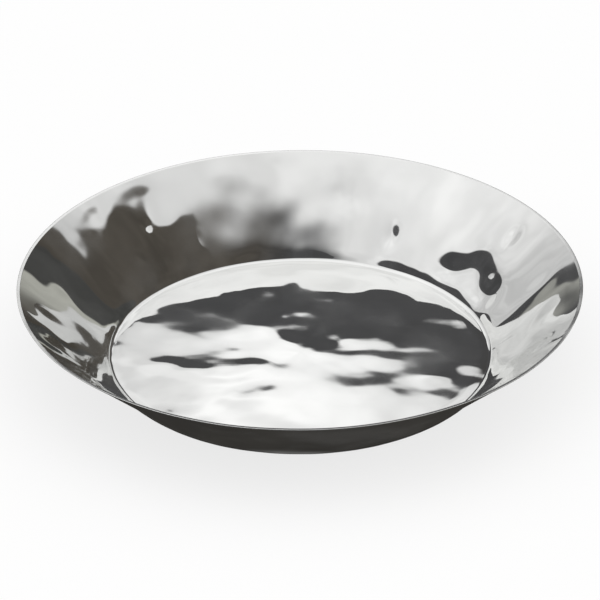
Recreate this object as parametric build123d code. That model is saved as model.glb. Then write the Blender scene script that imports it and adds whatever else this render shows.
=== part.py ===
"""Bowl paten: a shallow round dish for altar bread, spun from one disc of sheet metal.

Frame: the origin is the centre of the flat underside, +Z is up and is the axis of the dish. Millimetres.

The dish is one sheet throughout: a flat floor, a small bend, a straight conical wall that flares outwards,
and a rim that is ground level, so the rim's land is wider than the sheet is thick. Nothing is joined to it.
"""

import math
import os

from build123d import *

# Driving dimensions
DIAMETER = 180.0  # over the rim
HEIGHT = 26.4  # from the surface that it stands on to the level top of the rim
SHEET = 0.8  # thickness of the sheet
WALL_ANGLE = math.radians(42.2)  # the wall's rise above the horizontal
FLOOR_BEND = 2.0  # inner radius of the bend between the floor and the wall
RIM_EASE = 0.12  # rounding on the two edges of the ground rim

# Worked out from them
RIM_TIP = DIAMETER / 2 + RIM_EASE * (1 / math.tan(WALL_ANGLE / 2) - 1)  # the outer edge before it is eased
RIM_LAND = SHEET / math.sin(WALL_ANGLE)  # width of the level rim before its edges are eased
UNDER_CORNER = RIM_TIP - HEIGHT / math.tan(WALL_ANGLE)  # where the outer wall's line meets the underside
FLOOR_CORNER = UNDER_CORNER - SHEET * math.tan(WALL_ANGLE / 2)  # where the inner wall's line meets the floor


def sheet_section():
    """Half of the dish's cross-section, from its axis out to the rim, as a face on the XZ plane."""
    centre_under = (0, 0)
    corner_under = (UNDER_CORNER, 0)
    rim_outer = (RIM_TIP, HEIGHT)
    rim_inner = (RIM_TIP - RIM_LAND, HEIGHT)
    corner_floor = (FLOOR_CORNER, SHEET)
    centre_floor = (0, SHEET)
    section = make_face(
        Polyline(centre_under, corner_under, rim_outer, rim_inner, corner_floor, centre_floor, close=True)
    )
    for corner, radius in (
        (corner_under, FLOOR_BEND + SHEET),
        (corner_floor, FLOOR_BEND),
        (rim_outer, RIM_EASE),
        (rim_inner, RIM_EASE),
    ):
        nearest = section.vertices().sort_by_distance(corner)[0]
        section = fillet(nearest, radius)
    return Plane.XZ * section


def paten_dish():
    """The whole dish: the section turned once about the axis."""
    return revolve(sheet_section(), Axis.Z)


os.makedirs("parts", exist_ok=True)
export_step(paten_dish(), "parts/paten_dish.step")
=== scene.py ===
"""Bowl paten: one hammered, mirror-polished dish on a pale floor, in metres.

Frame: the origin is under the middle of the dish, on the surface that it stands on, and +Z is up. The camera
stands on the -Y side, so an angle of 0 degrees about the axis is the dish's right, 90 the back, 180 the left
and 270 the front.
"""

import math

import bpy
import numpy as np
from mathutils import Matrix, Vector, noise


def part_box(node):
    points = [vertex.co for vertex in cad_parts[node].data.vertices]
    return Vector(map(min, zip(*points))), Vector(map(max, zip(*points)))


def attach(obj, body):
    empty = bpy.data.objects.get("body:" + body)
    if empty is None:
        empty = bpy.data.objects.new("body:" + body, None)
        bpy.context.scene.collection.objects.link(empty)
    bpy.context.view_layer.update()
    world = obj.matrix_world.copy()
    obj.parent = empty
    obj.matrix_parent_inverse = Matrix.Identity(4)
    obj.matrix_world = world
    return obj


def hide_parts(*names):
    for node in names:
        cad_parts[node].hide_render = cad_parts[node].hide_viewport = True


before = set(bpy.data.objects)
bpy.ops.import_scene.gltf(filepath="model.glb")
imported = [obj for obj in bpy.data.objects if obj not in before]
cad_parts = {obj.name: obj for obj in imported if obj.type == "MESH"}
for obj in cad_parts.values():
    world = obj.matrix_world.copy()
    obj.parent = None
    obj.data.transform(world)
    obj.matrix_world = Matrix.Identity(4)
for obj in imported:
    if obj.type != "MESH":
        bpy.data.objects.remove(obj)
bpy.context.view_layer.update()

NODE = "paten_dish"
MM = 0.001
low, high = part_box(NODE)

# The dish's section
RADIUS = (high[0] - low[0]) / 2
HEIGHT = high[2]
SHEET = 0.8 * MM
WALL_ANGLE = math.radians(42.2)
FLOOR_BEND = 2.0 * MM
RIM_EASE = 0.12 * MM
LAND_DIP = 0.06 * MM  # the ground rim is this much lower at its inner edge
HALF_TURN = math.tan(WALL_ANGLE / 2)
RIM_TIP = RADIUS + RIM_EASE * (1 / HALF_TURN - 1)
RIM_INNER = RIM_TIP - SHEET / math.sin(WALL_ANGLE)
UNDER_CORNER = RIM_TIP - HEIGHT / math.tan(WALL_ANGLE)
FLOOR_CORNER = UNDER_CORNER - SHEET * HALF_TURN
BEND_RADIUS = FLOOR_CORNER - FLOOR_BEND * HALF_TURN  # radius at which the floor's bend is centred

# The hammer's work: how far the sheet stands off the true section, the same on both faces
FLOOR_CROWN = 0.30 * MM  # the middle of the floor stands higher than its edge
WALL_BOW = 0.35 * MM  # the middle of the wall stands inward of a straight line
# size and height in mm, and seed
RIPPLES = (
    (34.0, 0.30, 3),
    (15.0, 0.23, 11),
    (8.0, 0.055, 29),
    (3.6, 0.009, 53),
)
FLOOR_SHARE = 0.72  # the floor is rippled less than the wall
FLOOR_SHARE_FADE = 2 * MM  # that lower share ends this far past the corner
# angle and spread in degrees, and how much harder the hammer fell there, as a share
HAMMERING = (
    (97.0, 24.0, 0.70),
    (150.0, 20.0, -0.10),
    (215.0, 30.0, 0.40),
    (345.0, 25.0, 0.30),
    (285.0, 40.0, -0.40),
)
# the share of the ripples and dents that is left there, and how far away they have their full depth
CALM_AT_BEND = (0.25, 4 * MM)
CALM_AT_RIM = (0.30, 5 * MM)
GROOVE_DEPTH = 0.22 * MM  # the corner between floor and wall is pressed in
GROOVE_WIDTH = 1.2 * MM
CORNER_MARKS = (4.5, 0.045, 41)  # a smaller hammer's marks beside the corner: size and height in mm, and seed
CORNER_MARKS_REACH = 3.5 * MM
# angle in degrees, then distance from the axis, width round, width across and depth in mm
WALL_DENTS = (
    (64.2, 69.4, 1.5, 2.0, 0.42),
    (31.3, 81.2, 1.4, 1.9, 0.42),
    (35.0, 70.0, 3.6, 2.4, 0.50),
    (29.0, 66.0, 4.6, 3.3, 0.72),
    (39.0, 67.2, 3.0, 2.2, 0.34),
    (23.5, 66.0, 3.0, 3.2, 0.45),
    (28.0, 69.2, 1.2, 1.0, -0.24),
    (43.0, 66.0, 2.8, 2.0, 0.42),
    (10.0, 79.0, 3.0, 4.0, 0.40),
    (79.0, 77.5, 4.5, 2.6, 0.26),
    (92.0, 77.0, 4.0, 3.0, -0.14),
    (104.0, 80.0, 3.5, 3.0, 0.15),
    (98.0, 70.0, 5.0, 3.0, 0.14),
    (86.0, 71.0, 4.0, 2.6, -0.12),
    (110.0, 72.0, 3.5, 3.0, 0.14),
    (119.0, 70.0, 1.1, 1.5, 0.16),
    (131.0, 77.0, 0.9, 1.1, 0.11),
    (138.0, 70.0, 0.8, 1.0, 0.10),
    (170.0, 74.0, 5.0, 4.0, 0.45),
    (183.0, 70.0, 4.0, 3.5, -0.40),
    (192.0, 79.0, 5.0, 3.0, 0.35),
    (345.0, 72.0, 4.0, 4.0, 0.40),
    (356.0, 80.0, 5.0, 3.5, -0.35),
)
# x, y, width along x, width along y and depth in mm; a bump has a depth under zero
FLOOR_DENTS = (
    (-11.0, 18.0, 7.0, 5.5, -0.20),
    (-14.0, -10.0, 6.0, 4.0, -0.09),
    (-24.0, 12.0, 5.0, 4.0, -0.12),
    (9.0, 2.0, 6.0, 4.0, -0.11),
    (41.0, -16.0, 4.5, 3.2, -0.10),
    (47.0, 12.0, 11.0, 7.0, 0.28),
    (0.0, 17.5, 4.5, 4.0, -0.06),
    (-32.0, 20.0, 6.0, 4.0, -0.07),
    (-44.0, -7.0, 5.0, 2.6, -0.15),
    (-36.0, -11.0, 5.0, 2.6, -0.15),
    (-28.0, -15.5, 5.0, 2.6, -0.14),
    (25.0, 9.0, 9.0, 5.0, -0.13),
)

# Mesh
TURNS = 560
FLOOR_RINGS = 44
WALL_RINGS = 44
OUTER_WALL_RINGS = 20
UNDERSIDE_RINGS = 18
BEND_RINGS = 8
EASE_RINGS = 4
LAND_RINGS = 3
EDGE_GUARD = 0.12 * MM  # a ring this close to each edge keeps the shading of flat and round stretches apart

# Camera
CAMERA_DISTANCE = 1.8
CAMERA_ELEVATION = math.radians(29.58)
CAMERA_ROLL = math.radians(-0.35)
AIM_BELOW_RIM = 5.1 * MM
LENS = 339.7
CLIP_START = 0.05

# Studio: one wide lit panel overhead, in a dark room
PANEL_HEIGHT = 0.50
PANEL_BOX = ((-1.55, -0.25), (1.05, 1.75))
BACK_SLANT = math.radians(30)  # the back edge runs further back towards the left
FRONT_SLANT = math.radians(23)  # the front edge comes forward towards the left
LEFT_SLANT = math.radians(-55.5)  # the left-hand edge runs back from there
# each edge: the direction into the light, how far along it the light starts, and over what width it grows
FRONT_EDGE = ((-math.sin(FRONT_SLANT), math.cos(FRONT_SLANT)), -0.260, 0.175)
PANEL_EDGES = (
    FRONT_EDGE,
    FRONT_EDGE,  # again, so that the light dies away slowly towards the front
    ((-math.sin(BACK_SLANT), -math.cos(BACK_SLANT)), -0.757, 0.024),
    ((-math.sin(LEFT_SLANT), math.cos(LEFT_SLANT)), -0.380, 0.020),
)
# a black card hangs under the panel's right side, and the light starts past either of these two edges of it
CARD_SIDE = math.radians(57)
CARD_END = math.radians(126)
CARD_EDGES = (
    ((-math.sin(CARD_SIDE), math.cos(CARD_SIDE)), -0.250, 0.008),
    ((-math.sin(CARD_END), math.cos(CARD_END)), -0.195, 0.012),
)
PANEL_GLOW = 0.68
LAMPS = (((-0.15, 0.30), 0.90, 0.50), ((0.0, 0.80), 0.11, 0.40))  # place, reach and added glow of each
PANEL_UNEVEN = 0.16  # how much the diffuser's glow varies from place to place
PANEL_CLOUD = (9, 1)  # scale and detail of that variation
PANEL_CLOUD_RANGE = (0.25, 0.75)  # values of its noise from dimmest to brightest

# The room, by the direction in which it is seen: x is to the right and z is up
ROOM_LOW = (0.038, 0.036, 0.033)
ROOM_HIGH = (0.070, 0.070, 0.072)
ROOM_RIGHT = (0.078, 0.070, 0.060)
WARM_RANGE = (0, 0.5)  # x from which the right-hand tone grows and where it is full
ROOM_LOW_RANGE = (0.0, -0.50)
RIGHT_RANGE = (0.35, 0.55)
LEFT_RANGE = (-0.35, -0.50)
LOW_WALL = (0.062, 0.062, 0.060)  # a dark wall low down on the right
LOW_WALL_TOP = math.sin(math.radians(23))
PALE_SWEEP = (0.44, 0.44, 0.40)  # and a pale sweep of paper below that
PALE_SWEEP_TOP = math.sin(math.radians(13.5))
LEFT_SWEEP = (0.33, 0.33, 0.305)  # the sweep is dimmer and lower on the left
LEFT_SWEEP_TOP = math.sin(math.radians(9.5))
TOP_SOFTNESS = 0.01  # the tops of the wall and the sweeps are blurred by this much each way
TABLE = (0.27, 0.27, 0.27)  # what the outside of the wall mirrors when it is seen from low down
TABLE_RANGE = (-0.84, -0.99)
ROOM_CLOUD = (7, 3)  # scale and detail of the room's unevenness
ROOM_CLOUD_RANGE = (0.3, 0.7)  # values of its noise from dimmest to brightest
ROOM_UNEVEN = (0.86, 1.16)  # its lowest and highest brightness

# The floor, the backdrop and the light on the floor
FLOOR_TONE = 0.22
FLOOR_GLOW = 0.77
FLOOR_REACH = 4.0
BACKDROP_GLOW = 0.96
BACKDROP_RADIUS = 3.9
BACKDROP_HEIGHT = 6.0
BACKDROP_SIDES = 96
SKY_STRENGTH = 2.9
SKY_SPREAD = math.radians(130)
GLOSSY_BOUNCES = 10  # light goes from wall to wall several times before it leaves the dish

# The metal
SMUDGES = (38, 6)  # scale and detail
SMUDGED_RANGE = (0.42, 0.75)  # values of the smudge noise from clean to smudged
POLISH = (0.018, 0.085)  # roughness where clean and where smudged
DULL_RANGE = (0.45, 0.72)  # values of the same noise over which the metal turns duller
METALLIC = (1.0, 0.955)
CLEAN_TONE = (0.87, 0.87, 0.855)
SMUDGED_TONE = (0.81, 0.815, 0.81)
# heights over which the polish gives way to the ground rim
GROUND_RANGE = (HEIGHT - 0.22 * MM, HEIGHT - 0.10 * MM)
GROUND_ROUGHNESS = 0.12
SCRATCHES = (1, 2)  # scale and detail
SCRATCH_STRETCH = (60, 2400, 900)
SCRATCH_TURN = (0, 0, 0.6)
SCRATCH_DEPTH = 0.004 * MM
SCRATCH_STRENGTH = 0.12


def line(points, start, end, normal, steps):
    """Adds a straight stretch, with a ring close to each end."""
    length = math.dist(start, end)
    guard = EDGE_GUARD / length
    for part in [guard] + [i / steps for i in range(1, steps)] + [1 - guard]:
        r = start[0] + part * (end[0] - start[0])
        z = start[1] + part * (end[1] - start[1])
        points.append((r, z, *normal))


def arc(points, centre, radius, first, last, steps, hollow=False):
    """Adds a round stretch whose outward normal turns from one angle to the other."""
    side = -1 if hollow else 1
    for i in range(steps + 1):
        angle = first + (last - first) * i / steps
        normal = (math.cos(angle), math.sin(angle))
        r = centre[0] + side * radius * normal[0]
        z = centre[1] + side * radius * normal[1]
        points.append((r, z, *normal))


def section():
    """The section from the floor's middle, over the rim, to the underside's middle: r, z and normal."""
    up = math.pi / 2
    inward = up + WALL_ANGLE
    outward = WALL_ANGLE - up
    inner_normal = (math.cos(inward), math.sin(inward))
    outer_normal = (math.cos(outward), math.sin(outward))
    bend = (BEND_RADIUS, SHEET + FLOOR_BEND)
    inner_ease = (RIM_INNER + RIM_EASE * HALF_TURN, HEIGHT - RIM_EASE - LAND_DIP)
    outer_ease = (RIM_TIP - RIM_EASE / HALF_TURN, HEIGHT - RIM_EASE)

    def at(centre, radius, normal):
        return centre[0] + radius * normal[0], centre[1] + radius * normal[1]

    points = []
    line(points, (0.0, SHEET), (BEND_RADIUS, SHEET), (0, 1), FLOOR_RINGS)
    arc(points, bend, FLOOR_BEND, up, inward, BEND_RINGS, hollow=True)
    wall_foot = at(bend, -FLOOR_BEND, inner_normal)
    wall_top = at(inner_ease, RIM_EASE, inner_normal)
    line(points, wall_foot, wall_top, inner_normal, WALL_RINGS)
    arc(points, inner_ease, RIM_EASE, inward, up, EASE_RINGS)
    line(points, at(inner_ease, RIM_EASE, (0, 1)), at(outer_ease, RIM_EASE, (0, 1)), (0, 1), LAND_RINGS)
    arc(points, outer_ease, RIM_EASE, up, outward, EASE_RINGS * 2)
    under = FLOOR_BEND + SHEET
    outer_top = at(outer_ease, RIM_EASE, outer_normal)
    outer_foot = at(bend, under, outer_normal)
    line(points, outer_top, outer_foot, outer_normal, OUTER_WALL_RINGS)
    arc(points, bend, under, outward, -up, BEND_RINGS)
    line(points, (BEND_RADIUS, 0.0), (0.0, 0.0), (0, -1), UNDERSIDE_RINGS)
    return points


def smooth_step(value):
    value = np.clip(value, 0, 1)
    return value * value * (3 - 2 * value)


def waves(points, size, seed):
    """Smooth seeded noise of the given size at each of the points, above and below zero."""
    drift = Vector((seed * 7.3, seed * 3.1, seed * 5.7))
    return np.array([noise.noise(point / size + drift) for point in points])


def turned_from(angle, degrees):
    """The turn from a direction in degrees to the angle, from minus to plus half a turn."""
    return (angle - math.radians(degrees) + math.pi) % (2 * math.pi) - math.pi


def relief(radius, angle):
    """How far the hammered sheet stands off the true section, towards the inside of the dish, in metres."""
    x, y = radius * np.cos(angle), radius * np.sin(angle)
    flat = [Vector((a / MM, b / MM, 0)) for a, b in zip(x.ravel(), y.ravel())]
    height = np.zeros(radius.shape)
    for size, amount, seed in RIPPLES:
        height += amount * MM * waves(flat, size, seed).reshape(radius.shape)
    on_wall = smooth_step((radius - FLOOR_CORNER) / FLOOR_SHARE_FADE)
    height *= FLOOR_SHARE + (1 - FLOOR_SHARE) * on_wall
    force = np.ones(radius.shape)
    for degrees, spread, share in HAMMERING:
        force += share * np.exp(-((turned_from(angle, degrees) / math.radians(spread)) ** 2))
    height *= force
    for along_x, along_y, wide, deep, depth in FLOOR_DENTS:
        spot = ((x / MM - along_x) / wide) ** 2 + ((y / MM - along_y) / deep) ** 2
        height -= depth * MM * np.exp(-spot / 2)
    for degrees, distance, around, across, depth in WALL_DENTS:
        step = turned_from(angle, degrees)
        spot = (step * radius / (around * MM)) ** 2 + ((radius - distance * MM) / (across * MM)) ** 2
        height -= depth * MM * np.exp(-spot / 2)
    bend_share, bend_reach = CALM_AT_BEND
    rim_share, rim_reach = CALM_AT_RIM
    from_bend = bend_share + (1 - bend_share) * smooth_step(np.abs(radius - FLOOR_CORNER) / bend_reach)
    from_rim = rim_share + (1 - rim_share) * smooth_step((RIM_INNER - radius) / rim_reach)
    height *= from_bend * from_rim
    crown = FLOOR_CROWN * (1 - np.clip(radius / BEND_RADIUS, 0, 1) ** 2)
    climb = np.clip((radius - FLOOR_CORNER) / (RIM_INNER - FLOOR_CORNER), 0, 1)
    size, amount, seed = CORNER_MARKS
    beside = np.exp(-(((radius - FLOOR_CORNER) / CORNER_MARKS_REACH) ** 2))
    height += amount * MM * waves(flat, size, seed).reshape(radius.shape) * beside
    groove = GROOVE_DEPTH * np.exp(-(((radius - FLOOR_CORNER) / GROOVE_WIDTH) ** 2) / 2)
    bow = WALL_BOW * 4 * climb * (1 - climb)  # a parabola that reaches WALL_BOW half way up
    return height + crown + bow - groove


def dish_mesh():
    """The sheet as one closed skin: a ring for each point of the section, and a point at each middle."""
    rows = np.array(section())
    angle = np.linspace(0, 2 * math.pi, TURNS, endpoint=False)
    r, turn = np.meshgrid(rows[:, 0], angle, indexing="ij")
    z = np.repeat(rows[:, 1:2], TURNS, axis=1)
    # both faces move as the inner face does opposite them, so the sheet stays close to its thickness
    inner_r = np.repeat(rows[:, 0:1] - SHEET * np.maximum(rows[:, 2:3], 0), TURNS, axis=1)
    wall = smooth_step((inner_r - BEND_RADIUS) / (FLOOR_BEND * math.sin(WALL_ANGLE)))
    tilt = WALL_ANGLE * wall
    rise = relief(inner_r, turn)
    climb = np.clip((inner_r - BEND_RADIUS) / (RIM_INNER - BEND_RADIUS), 0, 1)
    r = r - rise * np.sin(tilt)
    z = z + rise * np.cos(tilt)
    z -= z.min() * (1 - climb)  # the dish stands on the lowest points of its pressed corner
    x, y = r * np.cos(turn), r * np.sin(turn)
    rings = len(rows)
    vertices = [tuple(v) for v in np.stack([x, y, z], axis=-1).reshape(-1, 3)]
    vertices.append((0, 0, float(z[0].mean())))
    vertices.append((0, 0, float(z[-1].mean())))
    top, bottom = rings * TURNS, rings * TURNS + 1
    faces = []
    for j in range(TURNS):
        k = (j + 1) % TURNS
        faces.append((top, j, k))
        faces.append((bottom, (rings - 1) * TURNS + k, (rings - 1) * TURNS + j))
        for i in range(rings - 1):
            faces.append((i * TURNS + j, (i + 1) * TURNS + j, (i + 1) * TURNS + k, i * TURNS + k))
    mesh = bpy.data.meshes.new("hammered_dish")
    mesh.from_pydata(vertices, [], faces)
    mesh.shade_smooth()
    mesh.update()
    return mesh


def polished_metal():
    """Mirror polish with the traces of use: faint smudges, hairline scratches and a satin ground rim."""
    material = bpy.data.materials.new("polished_metal")
    material.use_nodes = True
    nodes, links = material.node_tree.nodes, material.node_tree.links
    shader = nodes["Principled BSDF"]
    place = nodes.new("ShaderNodeTexCoord").outputs["Object"]

    smudge = noise_node(nodes, links, place, *SMUDGES)
    haze = ramp(nodes, links, smudge, *SMUDGED_RANGE, *POLISH, shape="LINEAR")
    height = nodes.new("ShaderNodeSeparateXYZ")
    links.new(place, height.inputs["Vector"])
    on_rim = ramp(nodes, links, height.outputs["Z"], *GROUND_RANGE, shape="LINEAR")
    rough = nodes.new("ShaderNodeMix")
    rough.inputs["B"].default_value = GROUND_ROUGHNESS
    links.new(on_rim, rough.inputs["Factor"])
    links.new(haze, rough.inputs["A"])
    links.new(rough.outputs["Result"], shader.inputs["Roughness"])
    links.new(ramp(nodes, links, smudge, *DULL_RANGE, *METALLIC), shader.inputs["Metallic"])
    links.new(mixed(nodes, links, smudge, CLEAN_TONE, SMUDGED_TONE), shader.inputs["Base Color"])

    stretch = nodes.new("ShaderNodeMapping")
    stretch.inputs["Scale"].default_value = SCRATCH_STRETCH
    stretch.inputs["Rotation"].default_value = SCRATCH_TURN
    links.new(place, stretch.inputs["Vector"])
    scratch = noise_node(nodes, links, stretch.outputs["Vector"], *SCRATCHES)
    bump = nodes.new("ShaderNodeBump")
    bump.inputs["Strength"].default_value = SCRATCH_STRENGTH
    bump.inputs["Distance"].default_value = SCRATCH_DEPTH
    links.new(scratch, bump.inputs["Height"])
    links.new(bump.outputs["Normal"], shader.inputs["Normal"])
    return material


def new_object(name, vertices, faces, material, camera_only=False, reflection_only=False):
    """A stage object: the floor, or something that only the camera or only the reflections see."""
    mesh = bpy.data.meshes.new(name)
    mesh.from_pydata(vertices, [], faces)
    mesh.materials.append(material)
    obj = bpy.data.objects.new(name, mesh)
    bpy.context.collection.objects.link(obj)
    obj.visible_glossy = reflection_only
    if camera_only or reflection_only:
        obj.visible_camera = camera_only
        obj.visible_diffuse = False
        obj.visible_shadow = False


def blank_material(name):
    """A material with an empty node tree but for its output."""
    material = bpy.data.materials.new(name)
    material.use_nodes = True
    nodes = material.node_tree.nodes
    nodes.clear()
    return material, nodes, material.node_tree.links, nodes.new("ShaderNodeOutputMaterial")


def ramp(nodes, links, value, start, end, low_value=0.0, high_value=1.0, shape="SMOOTHSTEP"):
    """Turns a value into another one that runs from the low to the high value, and no further."""
    node = nodes.new("ShaderNodeMapRange")
    node.interpolation_type = shape
    node.inputs["From Min"].default_value = start
    node.inputs["From Max"].default_value = end
    node.inputs["To Min"].default_value = low_value
    node.inputs["To Max"].default_value = high_value
    links.new(value, node.inputs["Value"])
    return node.outputs["Result"]


def noise_node(nodes, links, place, scale, detail):
    node = nodes.new("ShaderNodeTexNoise")
    node.inputs["Scale"].default_value = scale
    node.inputs["Detail"].default_value = detail
    links.new(place, node.inputs["Vector"])
    return node.outputs["Fac"]


def math_node(nodes, links, operation, first, second):
    node = nodes.new("ShaderNodeMath")
    node.operation = operation
    links.new(first, node.inputs[0])
    links.new(second, node.inputs[1])
    return node.outputs["Value"]


def vector_node(nodes, links, operation, vector, constant):
    node = nodes.new("ShaderNodeVectorMath")
    node.operation = operation
    links.new(vector, node.inputs[0])
    node.inputs[1].default_value = constant
    return node.outputs["Value"]


def panel_material():
    """A lit diffuser, brightest by its lamps, whose light dies away at its edges and at the black card."""
    material, nodes, links, output = blank_material("lit_panel")
    place = nodes.new("ShaderNodeTexCoord").outputs["Object"]
    lit = None
    for (across, along), start, width in PANEL_EDGES:
        depth = vector_node(nodes, links, "DOT_PRODUCT", place, (across, along, 0))
        edge = ramp(nodes, links, depth, start, start + width)
        lit = edge if lit is None else math_node(nodes, links, "MULTIPLY", lit, edge)
    past_card = None
    for (across, along), start, width in CARD_EDGES:
        depth = vector_node(nodes, links, "DOT_PRODUCT", place, (across, along, 0))
        edge = ramp(nodes, links, depth, start, start + width)
        past_card = edge if past_card is None else math_node(nodes, links, "MAXIMUM", past_card, edge)
    lit = math_node(nodes, links, "MULTIPLY", lit, past_card)
    strength = None
    for (across, along), reach, glow in LAMPS:
        away = vector_node(nodes, links, "DISTANCE", place, (across, along, PANEL_HEIGHT))
        base = PANEL_GLOW if strength is None else 0.0
        lamp = ramp(nodes, links, away, reach, 0, base, base + glow)
        strength = lamp if strength is None else math_node(nodes, links, "ADD", strength, lamp)
    cloud = noise_node(nodes, links, place, *PANEL_CLOUD)
    uneven = ramp(nodes, links, cloud, *PANEL_CLOUD_RANGE, 1 - PANEL_UNEVEN, 1.0)
    strength = math_node(nodes, links, "MULTIPLY", strength, uneven)
    emission = nodes.new("ShaderNodeEmission")
    links.new(strength, emission.inputs["Strength"])
    clear = nodes.new("ShaderNodeBsdfTransparent")
    blend = nodes.new("ShaderNodeMixShader")
    links.new(lit, blend.inputs["Fac"])
    links.new(clear.outputs["BSDF"], blend.inputs[1])
    links.new(emission.outputs["Emission"], blend.inputs[2])
    links.new(blend.outputs["Shader"], output.inputs["Surface"])
    return material


def overhead_panel():
    (left, front), (right, back) = PANEL_BOX
    corners = [(x, y, PANEL_HEIGHT) for x, y in ((left, front), (right, front), (right, back), (left, back))]
    new_object("overhead_panel", corners, [(0, 1, 2, 3)], panel_material(), reflection_only=True)


def floor():
    """A pale light table: it glows, so the dish's shadow stays soft. The metal doesn't mirror it."""
    material, nodes, links, output = blank_material("pale_floor")
    matt = nodes.new("ShaderNodeBsdfDiffuse")
    matt.inputs["Color"].default_value = (FLOOR_TONE, FLOOR_TONE, FLOOR_TONE, 1)
    shine = nodes.new("ShaderNodeEmission")
    shine.inputs["Strength"].default_value = FLOOR_GLOW
    both = nodes.new("ShaderNodeAddShader")
    links.new(matt.outputs["BSDF"], both.inputs[0])
    links.new(shine.outputs["Emission"], both.inputs[1])
    links.new(both.outputs["Shader"], output.inputs["Surface"])
    corners = [(x * FLOOR_REACH, y * FLOOR_REACH, 0) for x, y in ((-1, -1), (1, -1), (1, 1), (-1, 1))]
    new_object("studio_floor", corners, [(0, 1, 2, 3)], material)


def backdrop():
    """A pale round wall behind everything, seen by the camera only."""
    material, nodes, links, output = blank_material("pale_backdrop")
    shine = nodes.new("ShaderNodeEmission")
    shine.inputs["Strength"].default_value = BACKDROP_GLOW
    links.new(shine.outputs["Emission"], output.inputs["Surface"])
    vertices, faces = [], []
    for i in range(BACKDROP_SIDES):
        turn = 2 * math.pi * i / BACKDROP_SIDES
        x, y = BACKDROP_RADIUS * math.cos(turn), BACKDROP_RADIUS * math.sin(turn)
        vertices += [(x, y, 0), (x, y, BACKDROP_HEIGHT)]
        following = (i + 1) % BACKDROP_SIDES
        faces.append((2 * i, 2 * i + 1, 2 * following + 1, 2 * following))
    new_object("backdrop", vertices, faces, material, camera_only=True)


def mixed(nodes, links, mask, first, second):
    """Mixes two colours, each a constant or another node's result."""
    mix = nodes.new("ShaderNodeMix")
    mix.data_type = "RGBA"
    links.new(mask, mix.inputs["Factor"])
    for socket, colour in (("A", first), ("B", second)):
        if isinstance(colour, tuple):
            mix.inputs[socket].default_value = (*colour, 1)
        else:
            links.new(colour, mix.inputs[socket])
    return mix.outputs["Result"]


def dark_room():
    """The room around the dish: dark, warm at the right, with a low dark wall and pale paper sweeps."""
    world = bpy.data.worlds.new("dark_room")
    world.use_nodes = True
    nodes, links = world.node_tree.nodes, world.node_tree.links
    place = nodes.new("ShaderNodeTexCoord").outputs["Generated"]
    split = nodes.new("ShaderNodeSeparateXYZ")
    links.new(place, split.inputs["Vector"])
    across, above = split.outputs["X"], split.outputs["Z"]
    colour = mixed(nodes, links, ramp(nodes, links, across, *WARM_RANGE), ROOM_HIGH, ROOM_RIGHT)
    to_right = ramp(nodes, links, across, *RIGHT_RANGE)
    to_left = ramp(nodes, links, across, *LEFT_RANGE)
    for top, low_colour, side in (
        (LOW_WALL_TOP, LOW_WALL, to_right),
        (PALE_SWEEP_TOP, PALE_SWEEP, to_right),
        (LEFT_SWEEP_TOP, LEFT_SWEEP, to_left),
    ):
        below = ramp(nodes, links, above, top + TOP_SOFTNESS, top - TOP_SOFTNESS)
        colour = mixed(nodes, links, math_node(nodes, links, "MULTIPLY", below, side), colour, low_colour)
    colour = mixed(nodes, links, ramp(nodes, links, above, *ROOM_LOW_RANGE), colour, ROOM_LOW)
    colour = mixed(nodes, links, ramp(nodes, links, above, *TABLE_RANGE), colour, TABLE)
    cloud = noise_node(nodes, links, place, *ROOM_CLOUD)
    background = nodes["Background"]
    links.new(colour, background.inputs["Color"])
    links.new(ramp(nodes, links, cloud, *ROOM_CLOUD_RANGE, *ROOM_UNEVEN), background.inputs["Strength"])
    bpy.context.scene.world = world


def even_light():
    """Light from the whole sky for the floor, so that shadows are soft. The metal doesn't mirror it."""
    light = bpy.data.lights.new("even_light", "SUN")
    light.energy = SKY_STRENGTH
    light.angle = SKY_SPREAD
    obj = bpy.data.objects.new("even_light", light)
    obj.visible_glossy = False
    bpy.context.collection.objects.link(obj)


def camera():
    rim_centre = Vector((0, 0, HEIGHT))
    forward = Vector((0, math.cos(CAMERA_ELEVATION), -math.sin(CAMERA_ELEVATION)))
    place = rim_centre - CAMERA_DISTANCE * forward
    above = Vector((0, math.sin(CAMERA_ELEVATION), math.cos(CAMERA_ELEVATION)))
    aim = rim_centre - AIM_BELOW_RIM * above
    data = bpy.data.cameras.new("camera")
    data.lens = LENS
    data.clip_start = CLIP_START
    obj = bpy.data.objects.new("camera", data)
    look = (aim - place).to_track_quat("-Z", "Y").to_matrix() @ Matrix.Rotation(CAMERA_ROLL, 3, "Z")
    obj.matrix_world = Matrix.Translation(place) @ look.to_4x4()
    bpy.context.collection.objects.link(obj)
    bpy.context.scene.camera = obj


dish = bpy.data.objects.new("hammered_dish", dish_mesh())
bpy.context.collection.objects.link(dish)
dish.data.materials.append(polished_metal())
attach(dish, "root")
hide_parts(NODE)

floor()
backdrop()
dark_room()
overhead_panel()
even_light()
camera()
bpy.context.scene.view_settings.view_transform = "Standard"
bpy.context.scene.cycles.glossy_bounces = GLOSSY_BOUNCES
